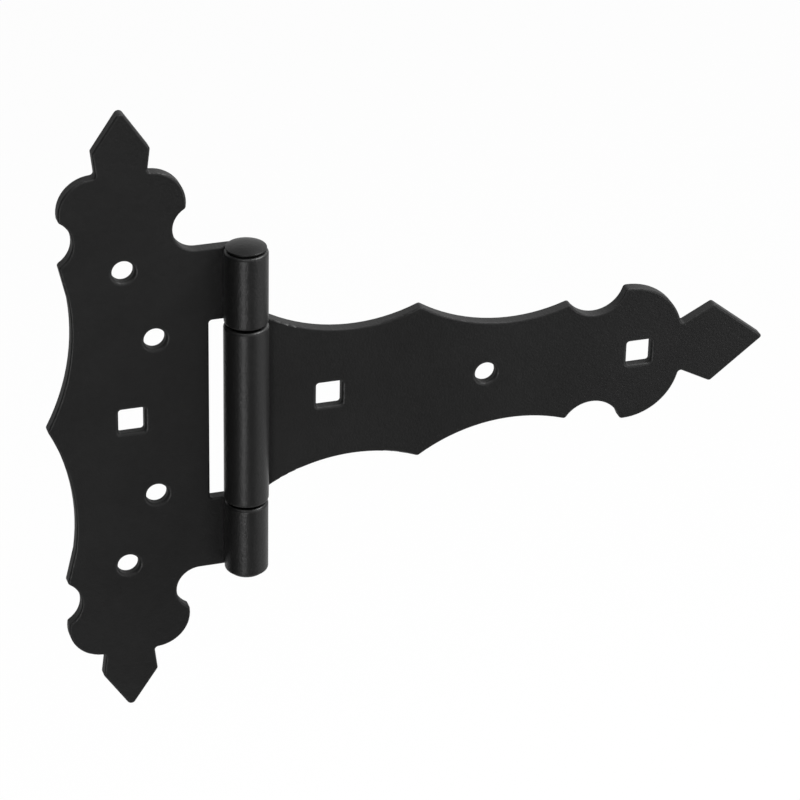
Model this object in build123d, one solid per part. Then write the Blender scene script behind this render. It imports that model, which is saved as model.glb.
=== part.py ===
"""Ornamental tee hinge for a gate: a scalloped strap leaf on a shaped post plate.

Frame: +Z runs up along the pin, +X runs along the strap, +Y points into the
surface the hinge is screwed to. The origin lies in the back face of the plate,
at the middle of the outer screw pair, which is also the axis of the finials.
All sizes are in millimetres.
"""
import math
import os

from build123d import *

# Overall sizes
TOTAL_LENGTH = 170.0        # left point of the plate to the point of the strap
PLATE_HEIGHT = 150.0        # over the two finial points
SHEET = 2.5                 # steel sheet of both leaves

# Pin and rolled knuckles
PIN_DIA = 5.0               # rivet shank, gripped by the knuckles of the plate
PIN_X = 26.9                # pin axis, measured from the finial axis
EYE_PLAY = 0.1              # running clearance of the strap eye round the pin
EYE_LENGTH = 44.6           # rolled eye of the strap along the pin
EYE_END_GAP = 0.5           # free gap at each end of the eye
KNUCKLE_LENGTH = 17.8       # each rolled knuckle of the plate
ROLL_GAP = 0.3              # gap between the rolled free edge and its own leaf
HEAD_DIA = 9.2              # domed head on the upper end of the pin
HEAD_RIM = 0.75             # widest part of the head above the knuckle
HEAD_RISE = 1.75            # full height of the head
HEAD_UNDER = 0.55           # slanted underside of the head, down to the knuckle
PEEN_DIA = 8.0              # hammered lower end of the pin
PEEN_RIM = 0.5              # rim of the hammered end
PEEN_RISE = 1.2             # full height of the hammered end
PEEN_UNDER = 0.25           # slanted underside of the hammered end
RIM_SOFTEN = 0.15           # rounding between a rim and its dome

# Post plate outline, x from the finial axis, z from the middle
PLATE_REACH = 17.7          # left point of the plate
DIAMOND_X = 6.4             # corners of the finial diamond
DIAMOND_DROP = 8.7          # finial point down to those corners
NECK_X = 5.7                # neck under the diamond
NECK_DROP = 14.5            # finial point down to the neck
LOBE_X = 14.1               # outer corners of the round lobes
LOBE_DROP = 24.1            # finial point down to the lobe corners
LOBE_RISE = 3.1             # bulge of the lobe arcs
BITE_Z = 40.2               # lower end of the round bite on the left side
BITE_X = 14.3
BITE_DEPTH = 3.1            # depth of that bite below its chord
WAIST_X = 12.35             # where the short straight edge meets the long sweep
WAIST_Z = 31.8
SWEEP_DEPTH = 2.5           # hollow of the long sweep to the left point
EAR_START_X = 16.6          # right bite runs out into the straight ear edge here
SLOT_X = 19.1               # left edge of the slot that clears the eye
SLOT_CORNER = 0.8           # corner radius of the slot

# Strap outline, x from the pin axis, half widths from the middle
ROOT_X = 5.0                # the eye runs out square to here
CUSP_1_X = 41.6
CUSP_1_HALF = 19.35
SCALLOP_1_DEPTH = 4.5
CUSP_2_X = 77.4
CUSP_2_HALF = 15.0
SCALLOP_2_DEPTH = 4.3
HORN_X = 91.0               # forward corner of the small deep bite
HORN_HALF = 17.0
HOOK_DEPTH = 4.6            # depth of the small bite
CROOK_X = 105.1             # neck behind the end diamond
CROOK_HALF = 5.9
CHEEK_RISE = 3.4            # bulge of the arc from horn to neck
SPEAR_X = 113.05            # corners of the end diamond
SPEAR_HALF = 10.15

# Screw holes and square holes
SCREW_DIA = 5.0             # round screw holes in both leaves
OUTER_SCREW_SPAN = 74.6     # outer pair of the plate, on the finial axis
INNER_SCREW_X = 6.9         # inner pair of the plate
INNER_SCREW_SPAN = 39.6
SQUARE = 6.0                # square holes for carriage bolts
SQUARE_CORNER = 0.7
PLATE_SQUARE_X = 1.3
STRAP_HOLE_X = 20.2         # first square hole of the strap, from the pin axis
STRAP_HOLE_PITCH = 37.35    # square, round, square along the strap

# Edge finish
POINT_ROUND = 1.1           # rounding of the three points of the plate
SPEAR_ROUND = 0.6           # rounding of the point of the strap
CORNER_ROUND = 0.8          # rounding of all other outline corners
EDGE_ROLL = 0.5             # rolled-over front edge left by the blanking punch
HOLE_ROLL = 0.8             # the same round the punched holes, where it is wider
BREAK_OUT = 0.4             # slanted break-out of the punch at the back of every hole
RIM_ROUND = 0.7             # rounded outer rim at the ends of the rolls

ALIKE = 0.0005              # share by which two equal lengths of the model may differ

PIN_R = PIN_DIA / 2
KNUCKLE_R = PIN_R + SHEET
EYE_R = KNUCKLE_R + EYE_PLAY
PIN_Y = -KNUCKLE_R
SLOT_HALF = EYE_LENGTH / 2 + EYE_END_GAP
EAR_Z = SLOT_HALF + KNUCKLE_LENGTH
TIP_Z = PLATE_HEIGHT / 2
STRAP_REACH = TOTAL_LENGTH - PLATE_REACH - PIN_X
STRAP_BACK_Y = PIN_Y + EYE_R


def bowed(start, end, rise):
    """Arc between two points; a positive rise bows it to the left of the travel."""
    dx = end[0] - start[0]
    dz = end[1] - start[1]
    span = math.hypot(dx, dz)
    middle = (
        (start[0] + end[0]) / 2 - dz / span * rise,
        (start[1] + end[1]) / 2 + dx / span * rise,
    )
    return Edge.make_three_point_arc(Vector(*start), Vector(*middle), Vector(*end))


def straight(start, end):
    """Straight edge between two points of an outline."""
    return Edge.make_line(Vector(*start), Vector(*end))


def sharp_point(visible, half_angle, radius):
    """Sharp position of a point whose rounded end lies at the visible reach."""
    return visible + radius * (1 / math.sin(half_angle) - 1)


def sharp_spear(visible, corner_reach, corner_half, radius):
    """Sharp position of a point with straight flanks from a pair of corners."""
    lean = radius / corner_half
    rest = 1 - lean ** 2
    reach = visible - corner_reach - radius
    return corner_reach + (reach + lean * math.sqrt(reach ** 2 + corner_half ** 2 * rest)) / rest


def flip(points):
    """The same points mirrored about the middle height."""
    return [(x, -z) for x, z in points]


def round_corners(face, places, radius):
    """Round the outline corners that lie at the given places."""
    chosen = []
    for x, z in places:
        corner = min(face.vertices(), key=lambda v: math.hypot(v.X - x, v.Y - z))
        chosen.append(corner)
    return face.fillet_2d(radius, chosen)


def plate_face():
    """Flat blank of the post plate up to the pin axis, in local x and z."""
    tip = (0.0, sharp_spear(TIP_Z, TIP_Z - DIAMOND_DROP, DIAMOND_X, POINT_ROUND))
    diamond = (DIAMOND_X, TIP_Z - DIAMOND_DROP)
    neck = (NECK_X, TIP_Z - NECK_DROP)
    lobe = (LOBE_X, TIP_Z - LOBE_DROP)
    ear = (EAR_START_X, EAR_Z)
    bite = (-BITE_X, BITE_Z)
    waist = (-WAIST_X, WAIST_Z)
    chord = math.hypot(PLATE_REACH - WAIST_X, WAIST_Z)
    flank = math.atan2(WAIST_Z, PLATE_REACH - WAIST_X) - 2 * math.atan(2 * SWEEP_DEPTH / chord)
    point = (-sharp_point(PLATE_REACH, flank, POINT_ROUND), 0.0)
    edges = []
    for side in (1, -1):
        def at(place, mirror=1):
            return (place[0] * mirror, place[1] * side)

        edges.append(straight(at(tip), at(diamond)))
        edges.append(straight(at(diamond), at(neck)))
        edges.append(bowed(at(neck), at(lobe), LOBE_RISE * side))
        edges.append(
            Edge.make_tangent_arc(Vector(*at(ear)), Vector(-1, 0), Vector(*at(lobe)))
        )
        edges.append(straight(at(ear), at((PIN_X, EAR_Z))))
        edges.append(straight(at((PIN_X, EAR_Z)), at((PIN_X, SLOT_HALF))))
        edges.append(straight(at((PIN_X, SLOT_HALF)), at((SLOT_X, SLOT_HALF))))
        edges.append(straight(at(tip), at(diamond, -1)))
        edges.append(straight(at(diamond, -1), at(neck, -1)))
        edges.append(bowed(at(neck, -1), at(lobe, -1), -LOBE_RISE * side))
        edges.append(bowed(at(lobe, -1), at(bite), BITE_DEPTH * side))
        edges.append(straight(at(bite), at(waist)))
        edges.append(bowed(at(waist), at(point), SWEEP_DEPTH * side))
    edges.append(straight((SLOT_X, SLOT_HALF), (SLOT_X, -SLOT_HALF)))
    face = Face(Wire(edges))
    points = [tip, (tip[0], -tip[1]), point]
    face = round_corners(face, points, POINT_ROUND)
    corners = []
    for place in (diamond, neck, lobe):
        corners += [place, (-place[0], place[1])]
    corners += [bite, waist]
    face = round_corners(face, corners + flip(corners), CORNER_ROUND)
    slot = [(SLOT_X, SLOT_HALF), (SLOT_X, -SLOT_HALF)]
    return round_corners(face, slot, SLOT_CORNER)


def strap_face():
    """Flat blank of the strap from the pin axis, in local x and z."""
    root = (ROOT_X, EYE_LENGTH / 2)
    cusp_1 = (CUSP_1_X, CUSP_1_HALF)
    cusp_2 = (CUSP_2_X, CUSP_2_HALF)
    horn = (HORN_X, HORN_HALF)
    crook = (CROOK_X, CROOK_HALF)
    spear = (SPEAR_X, SPEAR_HALF)
    tip = (sharp_spear(STRAP_REACH, SPEAR_X, SPEAR_HALF, SPEAR_ROUND), 0.0)
    edges = []
    for side in (1, -1):
        def at(place):
            return (place[0], place[1] * side)

        edges.append(straight(at((0.0, EYE_LENGTH / 2)), at(root)))
        edges.append(bowed(at(root), at(cusp_1), -SCALLOP_1_DEPTH * side))
        edges.append(bowed(at(cusp_1), at(cusp_2), -SCALLOP_2_DEPTH * side))
        edges.append(bowed(at(cusp_2), at(horn), -HOOK_DEPTH * side))
        edges.append(bowed(at(horn), at(crook), CHEEK_RISE * side))
        edges.append(straight(at(crook), at(spear)))
        edges.append(straight(at(spear), at(tip)))
    edges.append(straight((0.0, EYE_LENGTH / 2), (0.0, -EYE_LENGTH / 2)))
    face = Face(Wire(edges))
    face = round_corners(face, [tip], SPEAR_ROUND)
    corners = [root, cusp_1, cusp_2, horn, crook, spear]
    return round_corners(face, corners + flip(corners), CORNER_ROUND)


def front_of(body):
    """Flat front face of a leaf, which looks along -Y."""
    return body.faces().sort_by(Axis.Y)[0]


def back_of(body):
    """Flat back face of a leaf, which looks along +Y."""
    return body.faces().sort_by(Axis.Y)[-1]


def hole_rims(face):
    """Edges of the holes in a flat face."""
    return [e for hole in face.inner_wires() for e in hole.edges()]


def leaf(face, shift_x, back_y, joint_x):
    """Sheet leaf from a blank, its front edges rolled over except along the pin."""
    plane = Plane(origin=(shift_x, back_y, 0), x_dir=(1, 0, 0), z_dir=(0, -1, 0))
    body = extrude(plane * face, amount=SHEET, dir=(0, -1, 0))
    outline = front_of(body).outer_wire().edges()
    rim = [e for e in outline if not math.isclose(e.center().X, joint_x, rel_tol=ALIKE)]
    body = fillet(rim, EDGE_ROLL)
    body = fillet(hole_rims(front_of(body)), HOLE_ROLL)
    return chamfer(hole_rims(back_of(body)), BREAK_OUT)


def punched(face, rounds, squares):
    """Blank with its round screw holes and square bolt holes punched out."""
    for x, z in rounds:
        face = face - Pos(x, z) * Circle(SCREW_DIA / 2)
    for x, z in squares:
        face = face - Pos(x, z) * RectangleRounded(SQUARE, SQUARE, SQUARE_CORNER)
    return face


def circles_of(body, radius):
    """Circular edges of one radius, from the lowest to the highest."""
    circles = body.edges().filter_by(GeomType.CIRCLE).sort_by(Axis.Z)
    return [e for e in circles if math.isclose(e.radius, radius, rel_tol=ALIKE)]


def roll(bore_r, hand, low_z, high_z):
    """Sheet rolled round the pin until its free edge all but meets the front of its own leaf.

    It starts at the back, above the pin axis; the hand tells which side the leaf lies on.
    """
    outer_r = bore_r + SHEET
    past_side = math.degrees(math.asin((bore_r - ROLL_GAP) / outer_r))
    sweep = 270 + past_side
    outer = CenterArc((0, 0), outer_r, 90, hand * sweep)
    inner = CenterArc((0, 0), bore_r, 90, hand * sweep)
    ends = [Line(outer @ 0, inner @ 0), Line(outer @ 1, inner @ 1)]
    section = make_face([outer, inner] + ends)
    body = extrude(Pos(PIN_X, PIN_Y, low_z) * section, amount=high_z - low_z)
    return fillet(circles_of(body, outer_r), RIM_ROUND)


def make_plate():
    """Post plate with its two rolled knuckles, one piece of sheet."""
    rounds = [(0.0, OUTER_SCREW_SPAN / 2), (0.0, -OUTER_SCREW_SPAN / 2)]
    rounds += [(INNER_SCREW_X, INNER_SCREW_SPAN / 2), (INNER_SCREW_X, -INNER_SCREW_SPAN / 2)]
    face = punched(plate_face(), rounds, [(PLATE_SQUARE_X, 0.0)])
    body = leaf(face, 0.0, 0.0, PIN_X)
    body = body + roll(PIN_R, -1, SLOT_HALF, EAR_Z)
    return body + roll(PIN_R, -1, -EAR_Z, -SLOT_HALF)


def make_strap():
    """Strap leaf with its long rolled eye, one piece of sheet."""
    second = STRAP_HOLE_X + STRAP_HOLE_PITCH
    third = second + STRAP_HOLE_PITCH
    face = punched(strap_face(), [(second, 0.0)], [(STRAP_HOLE_X, 0.0), (third, 0.0)])
    body = leaf(face, PIN_X, STRAP_BACK_Y, PIN_X)
    return body + roll(PIN_R + EYE_PLAY, 1, -EYE_LENGTH / 2, EYE_LENGTH / 2)


def low_dome(dia, rim, rise, under):
    """Low domed end standing on the XY plane: a flat dome over a slanted underside."""
    dome = rise - rim
    dome_r = ((dia / 2) ** 2 + dome ** 2) / (2 * dome)
    ball = Pos(0, 0, rise - dome_r) * Sphere(dome_r)
    stub = Cylinder(dia / 2, rise, align=(Align.CENTER, Align.CENTER, Align.MIN))
    end = stub & ball
    end = fillet(circles_of(end, dia / 2)[-1], RIM_SOFTEN)
    return chamfer(circles_of(end, dia / 2)[0], under)


def make_pin():
    """Rivet pin with a domed head above and a hammered end below."""
    pin = Cylinder(PIN_R, 2 * EAR_Z)
    pin += Pos(0, 0, EAR_Z) * low_dome(HEAD_DIA, HEAD_RIM, HEAD_RISE, HEAD_UNDER)
    peen = low_dome(PEEN_DIA, PEEN_RIM, PEEN_RISE, PEEN_UNDER)
    pin += Pos(0, 0, -EAR_Z) * Rot(180, 0, 0) * peen
    return Pos(PIN_X, PIN_Y, 0) * pin


os.makedirs("parts", exist_ok=True)
export_step(make_plate(), "parts/plate.step")
export_step(make_strap(), "parts/strap.step")
export_step(make_pin(), "parts/pin.step")
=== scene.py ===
"""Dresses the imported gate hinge.

The leaves and the pin get a powder coat. A pale floor, dark cards, soft lamps and a camera make
the set.
"""
from __future__ import annotations

import logging
import math
from collections.abc import Mapping, Sequence
from dataclasses import dataclass, field
from enum import Enum
from typing import Union

import bmesh
import bpy
from mathutils import Matrix, Vector

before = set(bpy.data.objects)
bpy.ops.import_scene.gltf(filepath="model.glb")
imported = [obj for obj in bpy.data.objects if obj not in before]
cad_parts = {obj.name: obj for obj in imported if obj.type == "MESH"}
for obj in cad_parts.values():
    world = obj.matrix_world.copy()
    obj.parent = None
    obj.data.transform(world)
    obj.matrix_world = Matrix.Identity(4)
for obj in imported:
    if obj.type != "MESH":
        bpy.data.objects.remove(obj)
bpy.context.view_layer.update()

LOG = logging.getLogger("gate_hinge")
MM = 0.001
IMAGE_PIXELS = 800
NOISE_MIDDLE = 0.5  # a noise from 0 to 1 swings about this level
MIX_LOW, MIX_HIGH, MIX_RESULT = 6, 7, 2  # colour sockets of a Mix node

Colour = tuple[float, float, float, float]
SocketInput = Union["Value", float, Sequence[float]]


def grey(level: float) -> Colour:
    """Give the opaque neutral colour of one level."""
    return (level, level, level, 1.0)


class Value:
    """A shader socket that takes part in Python arithmetic."""

    def __init__(self, graph: ShaderGraph, socket: bpy.types.NodeSocket) -> None:
        """Wrap one output socket of a graph."""
        self.graph = graph
        self.socket = socket

    def _math(self, operation: str, left: SocketInput, right: SocketInput) -> Value:
        """Add one Math node.

        Args:
            operation: Name of the Math node's operation.
            left: First number or link.
            right: Second number or link.

        Returns:
            The result as a value.
        """
        return self.graph.value("ShaderNodeMath", {"operation": operation}, {0: left, 1: right})

    def __add__(self, other: SocketInput) -> Value:
        """Add a number or a value."""
        return self._math("ADD", self, other)

    def __radd__(self, other: SocketInput) -> Value:
        """Add this value to a number."""
        return self._math("ADD", other, self)

    def __sub__(self, other: SocketInput) -> Value:
        """Take a number or a value away."""
        return self._math("SUBTRACT", self, other)

    def __rsub__(self, other: SocketInput) -> Value:
        """Take this value away from a number."""
        return self._math("SUBTRACT", other, self)

    def __mul__(self, other: SocketInput) -> Value:
        """Multiply by a number or a value."""
        return self._math("MULTIPLY", self, other)

    def __rmul__(self, other: SocketInput) -> Value:
        """Multiply a number by this value."""
        return self._math("MULTIPLY", other, self)

    def larger(self, other: SocketInput) -> Value:
        """Give the larger of this value and another."""
        return self._math("MAXIMUM", self, other)


class ShaderGraph:
    """The node tree of one material or world, cleared and ready to fill."""

    def __init__(self, tree: bpy.types.NodeTree) -> None:
        """Take over a node tree and remove its default nodes."""
        self.tree = tree
        self.tree.nodes.clear()

    def node(
        self,
        kind: str,
        settings: Mapping[str, object] | None = None,
        sockets: Mapping[str | int, SocketInput] | None = None,
    ) -> bpy.types.Node:
        """Make any node.

        Args:
            kind: Blender's type name of the node.
            settings: Properties of the node, set before its sockets.
            sockets: Values or links for its input sockets, by name or index.

        Returns:
            The new node.
        """
        made = self.tree.nodes.new(kind)
        for name, setting in (settings or {}).items():
            setattr(made, name, setting)
        for key, given in (sockets or {}).items():
            if isinstance(given, Value):
                self.tree.links.new(given.socket, made.inputs[key])
            else:
                made.inputs[key].default_value = given
        return made

    def value(
        self,
        kind: str,
        settings: Mapping[str, object] | None = None,
        sockets: Mapping[str | int, SocketInput] | None = None,
        output: str | int = 0,
    ) -> Value:
        """Make a node and give one of its outputs.

        Args:
            kind: Blender's type name of the node.
            settings: Properties of the node.
            sockets: Values or links for its input sockets.
            output: Name or index of the output that is wanted.

        Returns:
            That output as a value.
        """
        return Value(self, self.node(kind, settings, sockets).outputs[output])

    def mixed_colour(self, factor: SocketInput, low: Colour, high: Colour) -> Value:
        """Blend two colours.

        Args:
            factor: Share of the second colour.
            low: Colour at a factor of 0.
            high: Colour at a factor of 1.

        Returns:
            The blended colour.
        """
        return self.value(
            "ShaderNodeMix",
            {"data_type": "RGBA"},
            {"Factor": factor, MIX_LOW: low, MIX_HIGH: high},
            MIX_RESULT,
        )

    def part(self, vector: Value, axis: str) -> Value:
        """Give one component of a vector by its letter."""
        return self.value("ShaderNodeSeparateXYZ", None, {"Vector": vector}, axis)

    def ramped(self, source: Value, low: float, high: float) -> Value:
        """Turn a value into a soft mask.

        Args:
            source: Value to be masked.
            low: Level that gives 0.
            high: Level that gives 1.

        Returns:
            A smooth mask from 0 to 1.
        """
        return self.value(
            "ShaderNodeMapRange",
            {"interpolation_type": "SMOOTHSTEP"},
            {"Value": source, "From Min": low, "From Max": high},
        )

    def seen_rays(self) -> Value:
        """Tell the rays that show the background from those that carry its light.

        Returns:
            1 for camera, glossy and transmission rays, 0 for the rest.
        """
        camera = self.value("ShaderNodeLightPath", output="Is Camera Ray")
        glossy = self.value("ShaderNodeLightPath", output="Is Glossy Ray")
        through = self.value("ShaderNodeLightPath", output="Is Transmission Ray")
        return camera.larger(glossy).larger(through)


class Slot(Enum):
    """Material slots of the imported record."""

    LEAF = "leaf_coat"
    PIN = "pin_coat"


@dataclass(frozen=True)
class CutEdge:
    """Punched wall of a leaf: dull, with fine shear marks that run through the sheet.

    Lengths are in metres. The two limits are squares of the normal's part along the sheet's depth:
    a face above the first is no wall, one below the second is all wall.
    """

    front_y: float
    mark_pitch: float = 0.45 * MM
    mark_stretch: float = 0.05
    mark_detail: float = 1.0
    run_out: float = 0.3 * MM
    flat_limit: float = 0.5
    wall_limit: float = 0.2
    extra_roughness: float = 0.25
    depth_share: float = 0.55


@dataclass(frozen=True)
class PowderCoat:
    """Matte black powder coat: a fine grain, a slow orange-peel swell and faint clouds.

    Lengths are in metres. The shares, tints and dullings say how much each of the three adds to
    the relief, the colour and the roughness.
    """

    name: str
    dark: float
    light: float
    roughness: float
    roughness_swing: float
    gloss: float
    relief: float
    grain: float = 0.55 * MM
    peel: float = 2.1 * MM
    cloud: float = 17.0 * MM
    grain_detail: float = 2.0
    peel_detail: float = 1.0
    cloud_detail: float = 3.0
    octave_gain: float = 0.55
    peel_share: float = 0.4
    cloud_tint: float = 0.5
    peel_tint: float = 0.3
    grain_tint: float = 0.2
    cloud_dulling: float = 0.6
    grain_dulling: float = 0.4
    shift: tuple[float, float, float] = (0.0, 0.0, 0.0)

    def noise(self, graph: ShaderGraph, place: Value, size: float, detail: float) -> Value:
        """Lay a noise of one grain size over the piece.

        Args:
            graph: Graph that takes the node.
            place: Coordinates on the piece.
            size: Length of one swell.
            detail: Octaves of finer noise.

        Returns:
            Noise from 0 to 1.
        """
        return graph.value(
            "ShaderNodeTexNoise",
            {"noise_dimensions": "3D"},
            {
                "Vector": place,
                "Scale": 1.0 / size,
                "Detail": detail,
                "Roughness": self.octave_gain,
            },
        )

    def cut_mask(self, graph: ShaderGraph, place: Value, cut: CutEdge) -> Value:
        """Find the punched walls: they face sideways and lie behind the front of the leaf.

        Args:
            graph: Graph that takes the nodes.
            place: Object coordinates.
            cut: Punched wall of the leaf.

        Returns:
            1 on the walls, 0 on the flat faces and on the fronts of the rolls.
        """
        facing = graph.part(graph.value("ShaderNodeTexCoord", output="Normal"), "Y")
        sideways = graph.ramped(facing * facing, cut.flat_limit, cut.wall_limit)
        behind = graph.ramped(graph.part(place, "Y"), cut.front_y - cut.run_out, cut.front_y)
        return sideways * behind

    def material(self, cut: CutEdge | None = None) -> bpy.types.Material:
        """Make the coat as a Blender material.

        Args:
            cut: Punched wall of a leaf, where the piece has one.

        Returns:
            The finished material.
        """
        made = bpy.data.materials.new(self.name)
        made.use_nodes = True
        graph = ShaderGraph(made.node_tree)
        place = graph.value("ShaderNodeTexCoord", output="Object")
        laid = graph.value("ShaderNodeMapping", None, {"Vector": place, "Location": self.shift})
        grain = self.noise(graph, laid, self.grain, self.grain_detail)
        peel = self.noise(graph, laid, self.peel, self.peel_detail)
        cloud = self.noise(graph, laid, self.cloud, self.cloud_detail)
        tint = self.cloud_tint * cloud + self.peel_tint * peel + self.grain_tint * grain
        colour = graph.mixed_colour(tint, grey(self.dark), grey(self.light))
        dulling = self.cloud_dulling * cloud + self.grain_dulling * grain - NOISE_MIDDLE
        roughness = self.roughness + self.roughness_swing * dulling
        height = (1.0 - self.peel_share) * grain + self.peel_share * peel
        if cut is not None:
            wall = self.cut_mask(graph, place, cut)
            stretch = (1.0, cut.mark_stretch, 1.0)
            streak = graph.value("ShaderNodeMapping", None, {"Vector": place, "Scale": stretch})
            marks = self.noise(graph, streak, cut.mark_pitch, cut.mark_detail)
            height = height + cut.depth_share * (wall * marks)
            roughness = roughness + cut.extra_roughness * wall
        normal = graph.value(
            "ShaderNodeBump", None, {"Strength": 1.0, "Distance": self.relief, "Height": height}
        )
        coat = graph.value(
            "ShaderNodeBsdfPrincipled",
            None,
            {
                "Base Color": colour,
                "Roughness": roughness,
                "Specular IOR Level": self.gloss,
                "Normal": normal,
            },
        )
        graph.node("ShaderNodeOutputMaterial", None, {"Surface": coat})
        return made


@dataclass
class CoatedPiece:
    """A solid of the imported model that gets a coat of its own."""

    node: str
    slot: Slot
    coat: PowderCoat

    def build(self) -> bpy.types.Object:
        """Fetch the piece's own solid from the imported model."""
        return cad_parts[self.node]

    def finish(self) -> bpy.types.Material:
        """Make the material of the piece."""
        return self.coat.material()

    def dress(self, piece: bpy.types.Object) -> None:
        """Give the piece its coat.

        Args:
            piece: Object that the coat goes on.
        """
        material = self.finish()
        for slot in piece.material_slots:
            slot.material = material


@dataclass
class SheetLeaf(CoatedPiece):
    """A leaf punched and rolled from one sheet. Lengths are in metres."""

    back_y: float = 0.0
    sheet: float = 2.5 * MM

    def finish(self) -> bpy.types.Material:
        """Make the coat with shear marks on the punched walls."""
        return self.coat.material(CutEdge(self.back_y - self.sheet))


@dataclass
class PostPlate(SheetLeaf):
    """Finial-shaped post plate with its two rolled knuckles."""

    node: str = "plate"
    slot: Slot = Slot.LEAF
    coat: PowderCoat = field(
        default_factory=lambda: PowderCoat(
            name="plate_coat",
            dark=0.0045,
            light=0.0084,
            roughness=0.40,
            roughness_swing=0.16,
            gloss=0.185,
            relief=0.12 * MM,
        )
    )


@dataclass
class StrapLeaf(SheetLeaf):
    """Scalloped strap with its long rolled eye."""

    node: str = "strap"
    slot: Slot = Slot.LEAF
    coat: PowderCoat = field(
        default_factory=lambda: PowderCoat(
            name="strap_coat",
            dark=0.0046,
            light=0.0086,
            roughness=0.40,
            roughness_swing=0.16,
            gloss=0.185,
            relief=0.09 * MM,
            cloud=21.0 * MM,
            shift=(0.13, 0.07, 0.05),
        )
    )
    back_y: float = 0.1 * MM


@dataclass
class RivetPin(CoatedPiece):
    """Rivet pin with its domed head."""

    node: str = "pin"
    slot: Slot = Slot.PIN
    coat: PowderCoat = field(
        default_factory=lambda: PowderCoat(
            name="pin_coat",
            dark=0.0036,
            light=0.0066,
            roughness=0.40,
            roughness_swing=0.12,
            gloss=0.13,
            relief=0.08 * MM,
            cloud=5.0 * MM,
            shift=(0.02, 0.0, 0.0),
        )
    )


@dataclass(frozen=True)
class Softbox:
    """A rectangular soft lamp. Lengths are in metres."""

    name: str
    place: tuple[float, float, float]
    aim: tuple[float, float, float]
    width: float
    height: float
    watts: float

    def hang(self) -> bpy.types.Object:
        """Hang the lamp and aim it.

        Returns:
            The lamp.
        """
        data = bpy.data.lights.new(self.name, "AREA")
        data.shape = "RECTANGLE"
        data.size = self.width
        data.size_y = self.height
        data.energy = self.watts
        lamp = bpy.data.objects.new(self.name, data)
        bpy.context.scene.collection.objects.link(lamp)
        lamp.location = self.place
        facing = Vector(self.aim) - Vector(self.place)
        lamp.rotation_mode = "QUATERNION"
        lamp.rotation_quaternion = facing.to_track_quat("-Z", "Y")
        return lamp


def stage_panel(name: str, place: Matrix) -> bpy.types.Object:
    """Make a flat panel of the studio, which is no part of the hinge.

    Args:
        name: Name of the panel.
        place: Matrix that spreads, turns and moves a level square of 2 m.

    Returns:
        The panel.
    """
    sheet = bmesh.new()
    bmesh.ops.create_grid(sheet, x_segments=1, y_segments=1, size=1.0, matrix=place)
    mesh = bpy.data.meshes.new(name)
    sheet.to_mesh(mesh)
    sheet.free()
    panel = bpy.data.objects.new(name, mesh)
    bpy.context.scene.collection.objects.link(panel)
    return panel


class Stance(Enum):
    """How a card is turned about the depth of the set, in degrees."""

    LEVEL = 0.0
    UPRIGHT = 90.0


@dataclass(frozen=True)
class DarkCard:
    """A matte black card for the gloss of the coat to mirror. Lengths are in metres."""

    name: str
    middle: tuple[float, float, float]
    half_width: float
    half_depth: float
    stance: Stance
    tone: float = 0.01

    def build(self) -> bpy.types.Object:
        """Set the card up; it throws no shadow and the camera looks past it.

        Returns:
            The card.
        """
        turn = Matrix.Rotation(math.radians(self.stance.value), 4, "Y")
        spread = Matrix.Diagonal((self.half_width, self.half_depth, 1.0, 1.0))
        card = stage_panel(self.name, Matrix.Translation(self.middle) @ turn @ spread)
        card.visible_camera = False
        card.visible_diffuse = False
        card.visible_shadow = False
        return card

    def dress(self, card: bpy.types.Object) -> None:
        """Paint the card.

        Args:
            card: Card object.
        """
        made = bpy.data.materials.new(self.name)
        made.use_nodes = True
        graph = ShaderGraph(made.node_tree)
        matte = graph.value("ShaderNodeBsdfDiffuse", None, {"Color": grey(self.tone)})
        graph.node("ShaderNodeOutputMaterial", None, {"Surface": matte})
        card.data.materials.append(made)


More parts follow.
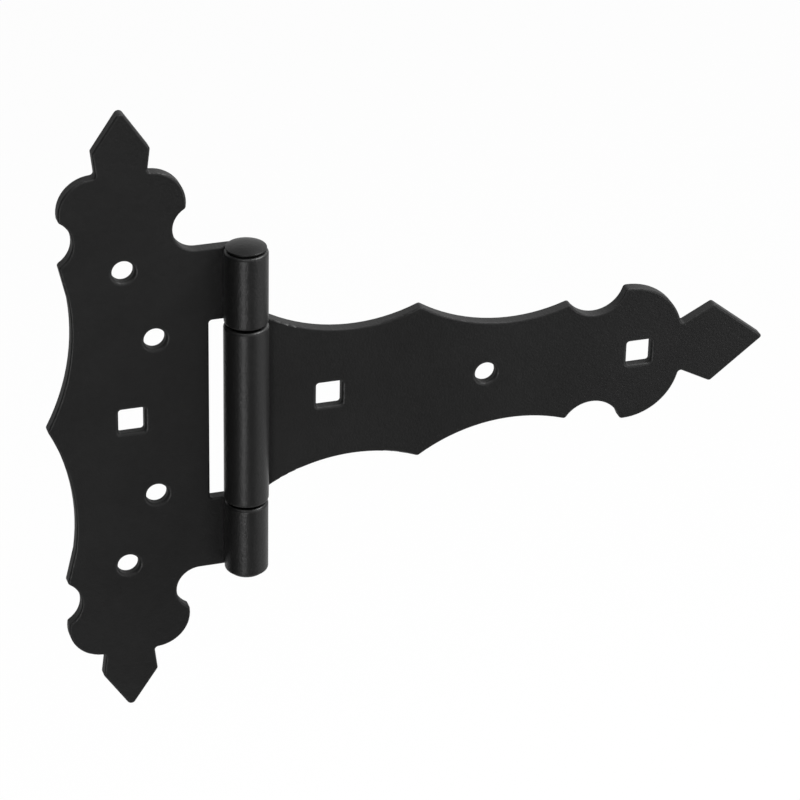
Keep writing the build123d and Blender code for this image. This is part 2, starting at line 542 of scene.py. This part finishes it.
@dataclass
class Studio:
    """A pale floor below the hinge, a white surround, dark cards and soft lamps.

    Lengths are in metres.
    """

    floor_z: float = -0.45
    floor_half: float = 6.0
    floor_tone: float = 0.92
    shadow_share: float = 0.05
    fill: float = 0.07
    cards: tuple[DarkCard, ...] = (
        DarkCard("left_card", (-0.36, -0.175, 0.01), 0.45, 0.225, Stance.UPRIGHT),
        DarkCard("front_card", (0.15, -0.91, -0.43), 0.40, 0.49, Stance.LEVEL),
    )
    lamps: tuple[Softbox, ...] = (
        Softbox("right_key", (0.85, -1.00, 0.34), (0.06, 0.0, 0.0), 0.6, 0.6, 1.6),
        Softbox("right_low", (1.15, -0.98, -0.25), (0.06, 0.0, 0.0), 0.9, 0.34, 4.6),
        Softbox("right_high", (0.57, -0.12, 0.71), (0.05, 0.0, 0.0), 0.25, 0.25, 16.0),
        Softbox("left_strip", (-0.38, -0.80, -0.36), (0.03, 0.0, 0.0), 0.12, 0.20, 3.6),
        Softbox("left_high", (-0.21, -0.43, 0.87), (0.03, 0.0, 0.0), 0.12, 0.20, 3.5),
        Softbox("back_top", (0.35, 1.40, 0.95), (0.35, 1.60, -0.45), 1.0, 0.8, 3.4),
        Softbox("right_back", (1.50, 1.20, 0.70), (0.30, 1.60, -0.45), 0.7, 0.7, 6.5),
    )

    def build(self) -> bpy.types.Object:
        """Lay the floor, set up the cards and hang the lamps.

        Returns:
            The floor.
        """
        spread = Matrix.Diagonal((self.floor_half, self.floor_half, 1.0, 1.0))
        floor = stage_panel("floor", Matrix.Translation((0.0, 0.0, self.floor_z)) @ spread)
        for card in self.cards:
            card.dress(card.build())
            LOG.info("set up card %s", card.name)
        for lamp in self.lamps:
            lamp.hang()
            LOG.info("hung lamp %s", lamp.name)
        return floor

    def dress(self, floor: bpy.types.Object) -> None:
        """Colour the floor and the surround.

        Args:
            floor: Floor object.
        """
        made = bpy.data.materials.new("pale_floor")
        made.use_nodes = True
        graph = ShaderGraph(made.node_tree)
        matte = graph.value("ShaderNodeBsdfDiffuse", None, {"Color": grey(self.floor_tone)})
        white = graph.value("ShaderNodeEmission", None, {"Color": grey(1.0), "Strength": 1.0})
        share = graph.seen_rays() * (1.0 - self.shadow_share)
        surface = graph.value("ShaderNodeMixShader", None, {0: share, 1: matte, 2: white})
        graph.node("ShaderNodeOutputMaterial", None, {"Surface": surface})
        floor.data.materials.append(made)
        self.surround()

    def surround(self) -> None:
        """Make the world white where it is seen or mirrored, and a grey fill elsewhere."""
        world = bpy.data.worlds.new("studio")
        world.use_nodes = True
        bpy.context.scene.world = world
        graph = ShaderGraph(world.node_tree)
        strength = self.fill + (1.0 - self.fill) * graph.seen_rays()
        sky = graph.value("ShaderNodeBackground", None, {"Color": grey(1.0), "Strength": strength})
        graph.node("ShaderNodeOutputWorld", None, {"Surface": sky})


@dataclass(frozen=True)
class ViewPoint:
    """The camera of the photograph. Angles are in degrees, lengths in metres."""

    aim: tuple[float, float, float] = (0.06382, -0.0025, -0.00383)
    left_turn: float = 18.13
    elevation: float = 29.10
    roll: float = -1.27
    distance: float = 0.832
    focal_pixels: float = 3658.0
    sensor_mm: float = 36.0
    nearest: float = 0.05
    farthest: float = 50.0

    def place(self) -> bpy.types.Object:
        """Set up the camera and make it the scene's own.

        Returns:
            The camera.
        """
        data = bpy.data.cameras.new("viewpoint")
        data.sensor_width = self.sensor_mm
        data.lens = self.focal_pixels * self.sensor_mm / IMAGE_PIXELS
        data.clip_start = self.nearest
        data.clip_end = self.farthest
        camera = bpy.data.objects.new("viewpoint", data)
        bpy.context.scene.collection.objects.link(camera)
        turn = math.radians(self.left_turn)
        rise = math.radians(self.elevation)
        back = Vector(
            (-math.sin(turn) * math.cos(rise), -math.cos(turn) * math.cos(rise), math.sin(rise))
        )
        right = Vector((0.0, 0.0, 1.0)).cross(back).normalized()
        facing = Matrix((right, back.cross(right), back)).transposed().to_4x4()
        rolled = facing @ Matrix.Rotation(math.radians(-self.roll), 4, "Z")
        camera.matrix_world = Matrix.Translation(Vector(self.aim) + self.distance * back) @ rolled
        bpy.context.scene.camera = camera
        return camera


def main() -> None:
    """Dress the hinge, then set up the studio and the camera."""
    logging.basicConfig(level=logging.INFO, format="%(name)s: %(message)s")
    bpy.context.scene.view_settings.view_transform = "Standard"
    for part in (PostPlate(), StrapLeaf(), RivetPin()):
        piece = part.build()
        part.dress(piece)
        LOG.info("dressed %s with %s on slot %s", part.node, part.coat.name, part.slot.value)
    studio = Studio()
    studio.dress(studio.build())
    camera = ViewPoint().place()
    LOG.info("placed camera %s", camera.name)


if __name__ == "__main__":
    main()
